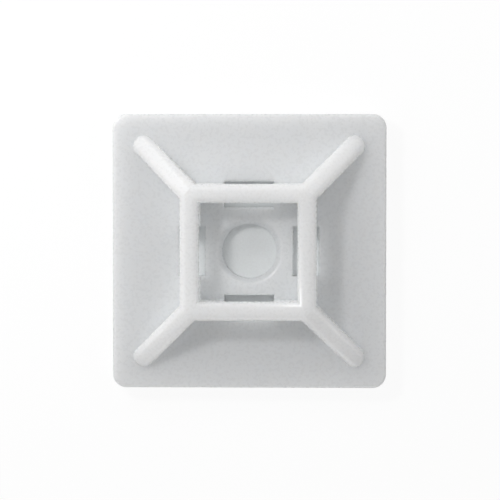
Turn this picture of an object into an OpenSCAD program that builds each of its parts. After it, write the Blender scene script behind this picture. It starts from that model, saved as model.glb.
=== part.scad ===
// Self-adhesive cable tie mount with a square base and four-way strap entry.
// Millimetres, +Z up, origin at the centre of the face that the mount rests on.
// The moulding is one piece of natural nylon. A square frame stands over the
// screw hole, four ribs run from its corners down to the base plate, and a
// strap goes in under one rail, over the hub and out under the opposite rail.

/* [Base plate] */
// Side of the square base plate
base_w = 28; // [26:0.5:40]
// Thickness of the base plate
plate_t = 1.5; // [1.2:0.1:2.5]
// Radius of the plate's corners, seen from above
corner_r = 1.4; // [1:0.1:3]
// Radius rolled over the plate's top edge
edge_r = 0.4; // [0.2:0.05:0.8]

/* [Frame] */
// Clear width between opposite rails, at the top
well_w = 10; // [9:0.5:14]
// Width of a rail
rail_w = 1.9; // [1.6:0.1:2]
// Height of the frame's top above the plate's underside
frame_h = 5.6; // [5:0.1:8]
// Radius along both upper edges of a rail or a rib
crown_r = 0.7; // [0.4:0.05:0.7]
// Lean of the moulded walls, in degrees from upright
draft = 1; // [0.5:0.5:3]

/* [Ribs] */
// Width of a rib
rib_w = 2.1; // [2:0.1:2.4]
// Distance from the centre of a rib's nose to the plate's two nearest edges
rib_inset = 3; // [2.5:0.1:4]
// Height of a rib's crest above the plate, at the centre of its nose
nose_h = 0.7; // [0.4:0.1:0.9]

/* [Strap slots] */
// Width of a slot, for the strap of a cable tie
slot_w = 5.1; // [3.6:0.1:7]
// Clear height from the plate's top to the underside of a rail
slot_h = 2.1; // [1.4:0.1:2.4]
// How far the opening under a rail reaches past the rail into the well
lead_in = 0.5; // [0.4:0.05:1]
// How far the opening under a rail reaches past the rail on the outside
lead_out = 0.2; // [0.1:0.05:0.6]
// Radius on the hub's edges, where the strap bends down
hub_edge_r = 0.3; // [0.1:0.05:0.5]
// Radius on the two lower edges of a rail, over the slot
rail_edge_r = 0.3; // [0.1:0.05:0.5]

/* [Screw hole] */
// Diameter of the screw hole
hole_d = 5.6; // [3:0.1:6]
// Diameter of the countersink at the hub's surface
sink_d = 7; // [6.2:0.1:7.4]
// Full angle of the countersink, in degrees
sink_angle = 90; // [82:1:110]

/* [Adhesive pad] */
// Thickness of the foam tape
foam_t = 1; // [0.6:0.1:1.6]
// Thickness of the release liner
liner_t = 0.1; // [0.06:0.02:0.2]
// How far the pad's edge lies inside the plate's edge
pad_inset = 0.3; // [0.1:0.1:0.6]

/* [Hidden] */
$fn = 64;
eps = 0.01; // how far a cutter runs past the face it opens
nose_over = 0.03; // how far a rib's round nose stands outside the rib's flanks

corner_c = (well_w + rail_w) / 2;      // frame corner, along x and along y
corner_d = corner_c * sqrt(2);         // the same, along the diagonal
crown_z = frame_h - crown_r;           // where a rail's round edges end and its walls begin
slot_top = plate_t + slot_h;           // underside of a rail
bend_d = corner_d + rail_w / 2 - crown_r;  // where a rib's level crest turns down
nose_d = (base_w / 2 - rib_inset) * sqrt(2);
rib_slope = atan((frame_h - plate_t - nose_h) / (nose_d - bend_d));
sink_depth = (sink_d - hole_d) / 2 / tan(sink_angle / 2);
slot_in = well_w / 2 - lead_in;        // edge of the hub
slot_out = well_w / 2 + rail_w + lead_out;
pad_w = base_w - 2 * pad_inset;
pad_r = corner_r - pad_inset;

// Half width of a drafted wall of top width w, `drop` below the end of its round edges
function wall_half(w, drop) = w / 2 - crown_r + crown_r / cos(draft) + drop * tan(draft);

// Right half of a wall's section: a flat top at y = 0, a round edge, and a drafted flank
module half_wall(w, depth) {
    flat = w / 2 - crown_r;
    drop = depth - crown_r;
    translate([flat, -crown_r]) circle(crown_r);
    polygon([
        [0, 0],
        [flat, 0],
        [flat, -crown_r],
        [flat + crown_r * cos(draft), crown_r * (sin(draft) - 1)],
        [wall_half(w, drop), -depth],
        [0, -depth],
    ]);
}

module wall_section(w, depth) {
    for (side = [0, 1]) mirror([side, 0]) half_wall(w, depth);
}

// Half of the plate's section, from x = 0 out to the rolled top edge
module edge_section(half_w) {
    square([half_w, plate_t - edge_r]);
    square([half_w - edge_r, plate_t]);
    translate([half_w - edge_r, plate_t - edge_r]) circle(edge_r);
}

// What a round of radius r takes off the corner that lies at the origin, material at -x and -y
module round_cut(r) {
    difference() {
        translate([-r, -r]) square([r + eps, r + eps]);
        translate([-r, -r]) circle(r);
    }
}

module rounded_slab(w, r, h) {
    flat = w - 2 * r;
    translate([-w / 2, -flat / 2, 0]) cube([w, flat, h]);
    translate([-flat / 2, -w / 2, 0]) cube([flat, w, h]);
    for (x = [-1, 1], y = [-1, 1])
        translate([x * flat / 2, y * flat / 2, 0]) cylinder(r = r, h = h);
}

module base_plate() {
    flat = base_w - 2 * corner_r;
    for (turn = [0, 90])
        rotate([90, 0, turn])
            linear_extrude(flat, center = true)
                for (side = [0, 1]) mirror([side, 0]) edge_section(base_w / 2);
    for (x = [-1, 1], y = [-1, 1])
        translate([x * flat / 2, y * flat / 2, 0])
            rotate_extrude() edge_section(corner_r);
}

// One side of the frame: a rail on the walls that stand beside its strap slot
module frame_side() {
    translate([corner_c, 0, frame_h])
        rotate([90, 0, 0])
            linear_extrude(2 * corner_c, center = true)
                wall_section(rail_w, frame_h - plate_t / 2);
}

// A wall that is level over the frame's corner, cut down by the same wall laid along
// the slope, which ends in a round nose on the plate
module rib() {
    rotate(45) intersection() {
        translate([corner_d, 0, frame_h]) rotate([90, 0, 90])
            linear_extrude(nose_d) wall_section(rib_w, frame_h);
        translate([nose_d, 0, plate_t + nose_h]) rotate([0, rib_slope, 0]) {
            rotate([90, 0, -90]) linear_extrude(nose_d) wall_section(rib_w, frame_h);
            rotate_extrude() intersection() {
                half_wall(rib_w + 2 * nose_over, frame_h);
                translate([0, -frame_h]) square(frame_h);
            }
        }
        translate([corner_d, -base_w / 2, plate_t / 2]) cube([base_w, base_w, frame_h]);
    }
}

// Opening through the plate and the wall, as wide as the strap slot, with the
// edges that the strap runs over rounded
module strap_slot() {
    face = wall_half(rail_w, crown_z - slot_top);
    rotate([90, 0, 0]) linear_extrude(slot_w, center = true) {
        translate([slot_in, -eps]) square([slot_out - slot_in, slot_top + eps]);
        translate([slot_in, plate_t]) round_cut(hub_edge_r);
        translate([slot_out, plate_t]) mirror([1, 0]) round_cut(hub_edge_r);
        translate([corner_c - face, slot_top]) rotate(180) round_cut(rail_edge_r);
        translate([corner_c + face, slot_top]) mirror([0, 1]) round_cut(rail_edge_r);
    }
}

module screw_hole() {
    translate([0, 0, -eps]) cylinder(d = hole_d, h = plate_t + 2 * eps);
    translate([0, 0, plate_t - sink_depth])
        cylinder(d1 = hole_d, d2 = sink_d + 2 * eps * tan(sink_angle / 2), h = sink_depth + eps);
}

module mount_body() {
    color([0.87, 0.88, 0.87])
        translate([0, 0, liner_t + foam_t])
            difference() {
                union() {
                    base_plate();
                    for (turn = [0:90:270]) rotate(turn) {
                        frame_side();
                        rib();
                    }
                }
                for (turn = [0:90:270]) rotate(turn) strap_slot();
                screw_hole();
            }
}

module foam_tape() {
    color([0.93, 0.94, 0.95])
        translate([0, 0, liner_t]) rounded_slab(pad_w, pad_r, foam_t);
}

module release_liner() {
    color([0.96, 0.94, 0.86]) rounded_slab(pad_w, pad_r, liner_t);
}

mount_body();
foam_tape();
release_liner();
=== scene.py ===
import math

import bmesh
import bpy
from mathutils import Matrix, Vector, noise


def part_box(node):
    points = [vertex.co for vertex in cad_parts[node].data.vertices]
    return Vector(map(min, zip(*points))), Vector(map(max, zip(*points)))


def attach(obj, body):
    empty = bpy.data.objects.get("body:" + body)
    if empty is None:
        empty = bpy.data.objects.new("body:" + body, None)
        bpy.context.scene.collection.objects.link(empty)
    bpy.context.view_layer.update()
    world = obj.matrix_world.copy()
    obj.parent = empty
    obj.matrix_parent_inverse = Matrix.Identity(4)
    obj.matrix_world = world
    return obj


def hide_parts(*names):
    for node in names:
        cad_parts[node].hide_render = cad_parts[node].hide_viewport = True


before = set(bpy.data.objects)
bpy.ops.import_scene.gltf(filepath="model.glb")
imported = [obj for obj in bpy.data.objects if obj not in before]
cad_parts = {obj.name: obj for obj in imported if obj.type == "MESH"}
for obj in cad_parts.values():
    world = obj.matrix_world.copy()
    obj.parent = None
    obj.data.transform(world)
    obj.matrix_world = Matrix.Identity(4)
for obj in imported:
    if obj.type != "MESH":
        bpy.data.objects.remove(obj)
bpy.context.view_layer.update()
MM = 0.001

# --- Release liner ---------------------------------------------------------
# The paper that keeps the adhesive clean until the mount is stuck down. It is
# cream silicone-coated kraft, die cut in one stroke with the foam above it.

LINER_COLOUR = (0.86, 0.82, 0.70, 1)
LINER_FIBRE_COLOUR = (0.78, 0.73, 0.59, 1)
PAPER_FIBRE_PITCH = 0.35 * MM
PAPER_FIBRE_HEIGHT = 0.004 * MM
PAPER_FIBRE_STRETCH = (1, 0.35, 1)
PAPER_ROUGHNESS = 0.42
PAPER_ROUGHNESS_SPREAD = 0.2


class Wire:
    """A socket in a material's nodes. Python's operators on it add Math nodes."""

    def __init__(self, tree, socket=None):
        self.tree = tree
        self.socket = socket

    def node(self, kind, settings=None, inputs=None, out=0):
        made = self.tree.nodes.new(kind)
        for name, value in (settings or {}).items():
            if name == "stops":
                for place, colour in value[2:]:
                    made.color_ramp.elements.new(place)
                for stop, (place, colour) in zip(made.color_ramp.elements, value):
                    stop.position = place
                    stop.color = colour
            else:
                setattr(made, name, value)
        for name, value in (inputs or {}).items():
            if isinstance(value, Wire):
                self.tree.links.new(value.socket, made.inputs[name])
            else:
                made.inputs[name].default_value = value
        return Wire(self.tree, made.outputs[out] if made.outputs else None)

    def math(self, operation, first, second):
        return self.node("ShaderNodeMath", {"operation": operation}, {0: first, 1: second})

    def __add__(self, other):
        return self.math("ADD", self, other)

    def __sub__(self, other):
        return self.math("SUBTRACT", self, other)

    def __mul__(self, other):
        return self.math("MULTIPLY", self, other)

    def __rsub__(self, other):
        return self.math("SUBTRACT", other, self)

    __radd__ = __add__
    __rmul__ = __mul__


def blank_material(name):
    """A new material with only its output, and a Wire that adds nodes to it"""
    material = bpy.data.materials.new(name)
    material.use_nodes = True
    material.node_tree.nodes.clear()
    return material, Wire(material.node_tree)


def grain(wire, place, pitch, detail=3, stretch=(1, 1, 1)):
    """Noise from 0 to 1, whose lumps lie about `pitch` apart"""
    spread = wire.node(
        "ShaderNodeMapping", inputs={"Vector": place, "Scale": [s / pitch for s in stretch]}
    )
    return wire.node(
        "ShaderNodeTexNoise", inputs={"Vector": spread, "Scale": 1, "Detail": detail}
    )


def blend_colours(wire, share, first, second):
    return wire.node(
        "ShaderNodeMix",
        {"data_type": "RGBA"},
        {"Factor": share, 6: first, 7: second},
        out=2,
    )


def bump(wire, height, depth, strength=1):
    return wire.node(
        "ShaderNodeBump",
        inputs={"Height": height, "Distance": depth, "Strength": strength},
    )


def surface(wire, **inputs):
    """The Principled shader on its output; each name is one of its sockets"""
    named = {name.replace("_", " "): value for name, value in inputs.items()}
    shader = wire.node("ShaderNodeBsdfPrincipled", inputs=named, out="BSDF")
    wire.node("ShaderNodeOutputMaterial", inputs={"Surface": shader})


def liner_paper():
    material, wire = blank_material("liner_paper")
    place = wire.node("ShaderNodeTexCoord", out="Object")
    fibres = grain(wire, place, PAPER_FIBRE_PITCH, detail=5, stretch=PAPER_FIBRE_STRETCH)
    surface(
        wire,
        Base_Color=blend_colours(wire, fibres, LINER_COLOUR, LINER_FIBRE_COLOUR),
        Roughness=PAPER_ROUGHNESS + PAPER_ROUGHNESS_SPREAD * fibres,
        Normal=bump(wire, fibres, PAPER_FIBRE_HEIGHT),
    )
    return material


release_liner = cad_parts["release_liner"]
release_liner.data.materials.clear()
release_liner.data.materials.append(liner_paper())

# --- Foam tape -------------------------------------------------------------
# The double-sided pad that holds the mount: white closed-cell polyethylene foam
# with a clear acrylic adhesive on both faces. It shows through the screw hole
# and the strap slots, where the adhesive's skin has wrinkled a little.

FOAM_CORNER_R = 1.1 * MM
FOAM_TOP_GAP = 0.012 * MM
FOAM_GRID = 60
FOAM_EDGE_ROWS = 6
FOAM_EDGE_BULGE = 0.05 * MM
FOAM_LUMP_SHARE = 0.65
FOAM_CELL = 0.16 * MM
FOAM_CELL_DEPTH = 0.02 * MM
CELLS_IN_LUMP = 3
SKIN_DEPTH = 0.1 * MM
SHOWN_REACH = 8.2 * MM
SHOWN_CUTS = 5
WRINKLE_PITCH = 0.42 * MM
WRINKLE_DEPTH = 0.05 * MM
WRINKLE_OCTAVES = 3
WRINKLES_IN_PATCH = 4
FOAM_ROUGHNESS = 0.3
FOAM_ROUGHNESS_SPREAD = 0.3
FOAM_LIGHT_REACH = 0.4 * MM
# The slight blue in the foam colours is painted light: it stands in for the bluish studio
# light
FOAM_COLOUR = (0.93, 0.965, 0.975, 1)
FOAM_CELL_COLOUR = (0.88, 0.90, 0.91, 1)


def round_corners(mesh, half, radius):
    """Draws a square grid's corners in to a round outline"""
    flat = half - radius
    for vert in mesh.verts:
        dx = abs(vert.co.x) - flat
        dy = abs(vert.co.y) - flat
        if dx > 0 and dy > 0:
            pull = max(dx, dy) / math.hypot(dx, dy)
            vert.co.x = math.copysign(flat + dx * pull, vert.co.x)
            vert.co.y = math.copysign(flat + dy * pull, vert.co.y)


def foam_mesh(low, high, corner_r):
    half = high.x
    top = high.z - FOAM_TOP_GAP
    mesh = bmesh.new()
    bmesh.ops.create_grid(mesh, x_segments=FOAM_GRID, y_segments=FOAM_GRID, size=half)
    bmesh.ops.translate(mesh, verts=mesh.verts, vec=(0, 0, top))
    round_corners(mesh, half, corner_r)
    skin = list(mesh.faces)
    below = bmesh.ops.extrude_face_region(mesh, geom=skin, use_keep_orig=True)["geom"]
    lower = [v for v in below if isinstance(v, bmesh.types.BMVert)]
    bmesh.ops.translate(mesh, verts=lower, vec=(0, 0, low.z - top))
    bmesh.ops.recalc_face_normals(mesh, faces=mesh.faces)

    upright = [
        e for e in mesh.edges if abs(e.verts[0].co.z - e.verts[1].co.z) > SKIN_DEPTH
    ]
    bmesh.ops.subdivide_edges(mesh, edges=upright, cuts=FOAM_EDGE_ROWS - 1, use_grid_fill=True)
    for vert in mesh.verts:
        up = (vert.co.z - low.z) / (top - low.z)
        if SKIN_DEPTH < vert.co.z - low.z and SKIN_DEPTH < top - vert.co.z:
            out = Vector((vert.co.x, vert.co.y, 0)).normalized()
            lumps = FOAM_LUMP_SHARE * noise.noise(vert.co / FOAM_CELL / CELLS_IN_LUMP)
            bulge = 4 * up * (1 - up) * (1 - FOAM_LUMP_SHARE + lumps) - 1
            vert.co += out * FOAM_EDGE_BULGE * bulge

    def shown(edge):
        return all(
            v.co.z > top - SKIN_DEPTH and max(abs(v.co.x), abs(v.co.y)) < SHOWN_REACH
            for v in edge.verts
        )

    bmesh.ops.subdivide_edges(
        mesh, edges=[e for e in mesh.edges if shown(e)], cuts=SHOWN_CUTS, use_grid_fill=True
    )
    for vert in mesh.verts:
        inside = SHOWN_REACH - max(abs(vert.co.x), abs(vert.co.y))
        if vert.co.z > top - SKIN_DEPTH and inside > 0:
            fold = noise.turbulence(vert.co / WRINKLE_PITCH, WRINKLE_OCTAVES, False)
            patch = (1 + noise.noise(vert.co / WRINKLE_PITCH / WRINKLES_IN_PATCH)) / 2
            ease = min(1, inside / WRINKLE_PITCH)
            vert.co.z -= WRINKLE_DEPTH * ease * patch * min(1, abs(fold))
    return mesh


def tape_foam():
    material, wire = blank_material("tape_foam")
    place = wire.node("ShaderNodeTexCoord", out="Object")
    cells = wire.node(
        "ShaderNodeTexVoronoi",
        {"feature": "SMOOTH_F1"},
        {"Vector": place, "Scale": 1 / FOAM_CELL, "Smoothness": 0.6},
    )
    haze = grain(wire, place, 2 * FOAM_CELL)
    surface(
        wire,
        Base_Color=blend_colours(wire, cells, FOAM_COLOUR, FOAM_CELL_COLOUR),
        Roughness=FOAM_ROUGHNESS + FOAM_ROUGHNESS_SPREAD * haze,
        IOR=1.47,
        Subsurface_Weight=0.6,
        Subsurface_Radius=(1, 1, 1),
        Subsurface_Scale=FOAM_LIGHT_REACH,
        Normal=bump(wire, cells, FOAM_CELL_DEPTH),
    )
    return material


def new_piece(mesh, name, material):
    data = bpy.data.meshes.new(name)
    mesh.to_mesh(data)
    mesh.free()
    data.shade_smooth()
    data.materials.append(material)
    piece = bpy.data.objects.new(name, data)
    bpy.context.scene.collection.objects.link(piece)
    return piece


foam_low, foam_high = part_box("foam_tape")
foam_pad = new_piece(foam_mesh(foam_low, foam_high, FOAM_CORNER_R), "foam_pad", tape_foam())
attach(foam_pad, "root")
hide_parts("foam_tape")

# --- Mount body ------------------------------------------------------------
# One injection moulding of natural nylon 6/6. It is milky and translucent, with a satin skin.
# Its colour is painted whiter with height above the plate: a painted glow that makes the ribs
# and frame lighter than the plate.

# The slight blue in the nylon colours below is painted light: it stands in for the bluish
# studio light
PLATE_T = 1.5 * MM
plate_top = foam_high.z + PLATE_T
# The first colour is a lighter copy of the nylon, painted on the raised ribs and frame as a
# glow; the plate takes the second
RAISED_PAINTED_GLOW_COLOUR = (0.95, 0.965, 0.97, 1)
PLATE_NYLON_COLOUR = (0.905, 0.92, 0.925, 1)
CLOUD_COLOUR = (0.885, 0.90, 0.905, 1)
# Height above the plate over which the colour ramps up to the painted glow colour
PAINTED_GLOW_RISE = 0.6 * MM
NYLON_CLOUD_PITCH = 2.2 * MM
NYLON_TEXTURE_PITCH = 0.3 * MM
NYLON_TEXTURE_HEIGHT = 0.006 * MM
NYLON_ROUGHNESS = 0.22
NYLON_ROUGHNESS_SPREAD = 0.12
NYLON_LIGHT_REACH = 3.0 * MM
NYLON_LIGHT_REACH_RGB = (1, 0.97, 0.93)
SMOOTH_UP_TO = math.radians(32)
FLAT_UP_TO = math.radians(0.5)
MERGE_WITHIN = 0.0002 * MM
SLIVER = 0.005 * MM


def nylon():
    material, wire = blank_material("natural_nylon")
    place = wire.node("ShaderNodeTexCoord", out="Object")
    clouds = grain(wire, place, NYLON_CLOUD_PITCH, detail=4)
    texture = grain(wire, place, NYLON_TEXTURE_PITCH, detail=3)
    # Painted glow: the colour turns whiter with height above the plate top, so the raised ribs
    # and frame look more lit than the plate
    painted_glow_by_height = wire.node(
        "ShaderNodeMapRange",
        {"interpolation_type": "SMOOTHSTEP"},
        {
            "Value": wire.node("ShaderNodeSeparateXYZ", inputs={"Vector": place}, out="Z"),
            "From Min": plate_top,
            "From Max": plate_top + PAINTED_GLOW_RISE,
        },
    )
    plate_tone = blend_colours(wire, clouds, PLATE_NYLON_COLOUR, CLOUD_COLOUR)
    surface(
        wire,
        Base_Color=blend_colours(wire, painted_glow_by_height, plate_tone, RAISED_PAINTED_GLOW_COLOUR),
        Roughness=NYLON_ROUGHNESS + NYLON_ROUGHNESS_SPREAD * texture,
        IOR=1.53,
        Subsurface_Weight=1,
        Subsurface_Radius=NYLON_LIGHT_REACH_RGB,
        Subsurface_Scale=NYLON_LIGHT_REACH,
        Normal=bump(wire, texture, NYLON_TEXTURE_HEIGHT),
    )
    return material


mesh = bmesh.new()
mesh.from_mesh(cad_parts["mount_body"].data)
bmesh.ops.remove_doubles(mesh, verts=mesh.verts, dist=MERGE_WITHIN)
bmesh.ops.dissolve_degenerate(mesh, dist=SLIVER, edges=mesh.edges)
bmesh.ops.dissolve_limit(mesh, angle_limit=FLAT_UP_TO, verts=mesh.verts, edges=mesh.edges)
bmesh.ops.dissolve_degenerate(mesh, dist=2 * SLIVER, edges=mesh.edges)
moulding = new_piece(mesh, "moulding", nylon())
moulding.data.set_sharp_from_angle(angle=SMOOTH_UP_TO)
even = moulding.modifiers.new("even_shading", "WEIGHTED_NORMAL")
even.keep_sharp = True
even.weight = 100
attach(moulding, "root")
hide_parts("mount_body")

# --- Table and light -------------------------------------------------------
# A white table, and the light of a small studio: one small lamp high on the
# left, and soft cards around the mount, most of them behind and to the left.

TABLE_COLOUR = (0.85, 0.85, 0.85, 1)
TABLE_GLOW = 1.05
TABLE_GLOW_SHARE = 0.86
FILL = 0.2
LAMP_DISTANCE = 0.13
KEY_SIDE = 0.014
KEY_AZIMUTH = 140
KEY_RISE = 50
KEY_WATTS = 0.045
CARD_WIDTH = 0.08
CARD_DEPTH = 0.05
SOFT_AZIMUTHS = (0, 60, 120, 180)
SOFT_RISE = 35
SOFT_WATTS = 0.02
LOW_AZIMUTHS = (135, 270)
LOW_RISE = 10
LOW_WATTS = 0.03


def seen_directly(wire):
    """1 where the camera, a reflection or a clear body looks, and 0 for scattered light"""
    return wire.math(
        "MINIMUM",
        wire.node("ShaderNodeLightPath", out="Is Camera Ray")
        + wire.node("ShaderNodeLightPath", out="Is Glossy Ray")
        + wire.node("ShaderNodeLightPath", out="Is Transmission Ray"),
        1,
    )


def table_top():
    material, wire = blank_material("table_top")
    matt = wire.node("ShaderNodeBsdfDiffuse", inputs={"Color": TABLE_COLOUR})
    glow = wire.node("ShaderNodeEmission", inputs={"Strength": TABLE_GLOW})
    both = wire.node(
        "ShaderNodeMixShader",
        inputs={0: seen_directly(wire) * TABLE_GLOW_SHARE, 1: matt, 2: glow},
    )
    wire.node("ShaderNodeOutputMaterial", inputs={"Surface": both})
    return material


mesh = bmesh.new()
bmesh.ops.create_grid(mesh, x_segments=1, y_segments=1, size=2)
table = new_piece(mesh, "table", table_top())

world = bpy.data.worlds.new("studio")
world.use_nodes = True
world.node_tree.nodes.clear()
wire = Wire(world.node_tree)
level = FILL + (1 - FILL) * seen_directly(wire)
sky = wire.node("ShaderNodeBackground", inputs={"Color": (1, 1, 1, 1), "Strength": level})
wire.node("ShaderNodeOutputWorld", inputs={"Surface": sky})
bpy.context.scene.world = world

middle = Vector((0, 0, plate_top))


def lamp(name, width, depth, place, watts):
    """A soft lamp there, aimed at the mount"""
    light = bpy.data.lights.new(name, "AREA")
    light.shape = "RECTANGLE"
    light.size = width
    light.size_y = depth
    light.energy = watts
    made = bpy.data.objects.new(name, light)
    made.location = place
    made.rotation_euler = (middle - made.location).to_track_quat("-Z", "Y").to_euler()
    made.visible_camera = False
    bpy.context.scene.collection.objects.link(made)


def around(distance, azimuth, elevation):
    """A place at that distance; azimuth in degrees from +X towards +Y"""
    turn, rise = math.radians(azimuth), math.radians(elevation)
    level = distance * math.cos(rise)
    return middle + Vector(
        (level * math.cos(turn), level * math.sin(turn), distance * math.sin(rise))
    )


lamp("key", KEY_SIDE, KEY_SIDE, around(LAMP_DISTANCE, KEY_AZIMUTH, KEY_RISE), KEY_WATTS)
for azimuth in SOFT_AZIMUTHS:
    place = around(LAMP_DISTANCE, azimuth, SOFT_RISE)
    lamp(f"soft_{azimuth}", CARD_WIDTH, CARD_DEPTH, place, SOFT_WATTS)
for azimuth in LOW_AZIMUTHS:
    place = around(LAMP_DISTANCE, azimuth, LOW_RISE)
    lamp(f"low_{azimuth}", CARD_WIDTH, CARD_DEPTH, place, LOW_WATTS)

# --- Camera ----------------------------------------------------------------
# It looks straight down from arm's length, a touch to the right of the mount.

CAMERA_RISE = 0.25
CAMERA_RIGHT = 9 * MM
CAMERA_BACK = 10 * MM
AIM_RIGHT = 0.09 * MM
AIM_BACK = 0.14 * MM
FIELD = 0.051
camera = bpy.data.cameras.new("camera")
camera.sensor_width = 36
camera.lens = camera.sensor_width * CAMERA_RISE / FIELD
camera.clip_start = 0.01
camera.clip_end = 10
eye = bpy.data.objects.new("camera", camera)
aim = middle + Vector((AIM_RIGHT, AIM_BACK, 0))
eye.location = aim + Vector((CAMERA_RIGHT, CAMERA_BACK, CAMERA_RISE))
eye.rotation_euler = (
    -math.atan2(CAMERA_BACK, CAMERA_RISE),
    math.atan2(CAMERA_RIGHT, CAMERA_RISE),
    0,
)
bpy.context.scene.collection.objects.link(eye)
bpy.context.scene.camera = eye

bpy.context.scene.view_settings.view_transform = "Standard"
